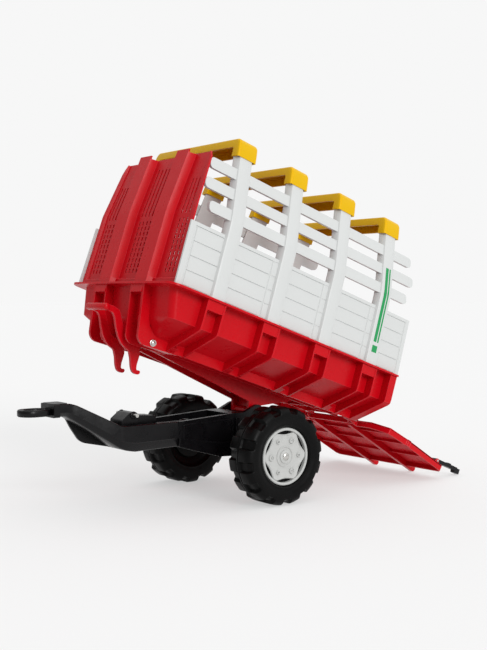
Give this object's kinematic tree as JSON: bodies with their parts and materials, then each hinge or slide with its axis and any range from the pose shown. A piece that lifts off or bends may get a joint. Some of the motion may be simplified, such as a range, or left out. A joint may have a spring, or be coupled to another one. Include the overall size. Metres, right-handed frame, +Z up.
{
  "type": "tipping hay trailer for a child pedal tractor",
  "caption": "Toy tipping hay trailer: black drawbar chassis, lugged wheels, red tub with slatted white sides, yellow hoops and a hinged tailgate.",
  "frame": {"origin": "on the ground at the middle of the footprint, with the tub raised and the tailgate down as stored", "axes": "+X points rearwards, away from the drawbar; +Y points to the trailer's right, as seen by someone who looks the way it is towed; +Z up"},
  "size_m": [1.1864, 0.4588, 0.8339],
  "materials": {
    "red_plastic": "satin",
    "white_plastic": "satin",
    "yellow_plastic": "satin",
    "black_plastic": "satin",
    "black_tyre": "satin",
    "grey_plastic": "satin",
    "zinc_steel": "bright"
  },
  "bodies": {
    "chassis": {"drawbar": "black_plastic", "hitch_eye": "black_plastic", "rear_frame": "black_plastic", "latch_keeper": "black_plastic", "keeper_pin": "zinc_steel", "release_strut": "black_plastic", "axle": "zinc_steel", "left_axle_cap": "zinc_steel", "right_axle_cap": "zinc_steel", "left_axle_spacer": "black_plastic", "right_axle_spacer": "black_plastic", "pivot_rod": "zinc_steel"},
    "left_wheel": {"left_tyre": "black_tyre", "left_rim": "grey_plastic"},
    "right_wheel": {"right_tyre": "black_tyre", "right_rim": "grey_plastic"},
    "tub": {"tub": "red_plastic", "front_wall": "red_plastic", "left_side_panel": "white_plastic", "right_side_panel": "white_plastic", "hoop_1": "yellow_plastic", "hoop_2": "yellow_plastic", "hoop_3": "yellow_plastic", "hoop_4": "yellow_plastic", "latch_rod": "zinc_steel", "left_hinge_pin": "zinc_steel", "right_hinge_pin": "zinc_steel"},
    "front_latch": {"front_latch": "red_plastic"},
    "tailgate": {"tailgate": "red_plastic", "tailgate_latch_pin": "zinc_steel"},
    "tailgate_latch": {"tailgate_latch": "black_plastic"}
  },
  "joints": [
    {"name": "left_wheel_spin", "type": "hinge", "parent": "chassis", "child": "left_wheel", "pos_m": [-0.0408, -0.187, 0.1125], "axis": [0, 1, 0], "continuous": true},
    {"name": "right_wheel_spin", "type": "hinge", "parent": "chassis", "child": "right_wheel", "pos_m": [-0.0408, 0.187, 0.1125], "axis": [0, 1, 0], "continuous": true},
    {"name": "tub_tip", "type": "hinge", "parent": "chassis", "child": "tub", "pos_m": [0.0092, 0, 0.195], "axis": [0, 1, 0], "range_deg": [-18.96, 8]},
    {"name": "tailgate_swing", "type": "hinge", "parent": "tub", "child": "tailgate", "pos_m": [0.28995, 0, 0.15966], "axis": [0, 1, 0], "range_deg": [-102.83, 60]},
    {"name": "front_latch_swing", "type": "hinge", "parent": "tub", "child": "front_latch", "pos_m": [-0.32595, 0, 0.37517], "axis": [0, 1, 0], "range_deg": [-8, 6]},
    {"name": "tailgate_latch_swing", "type": "hinge", "parent": "tailgate", "child": "tailgate_latch", "pos_m": [0.50041, -0.178, 0.04745], "axis": [0, 1, 0], "range_deg": [-60, 11]}
  ]
}
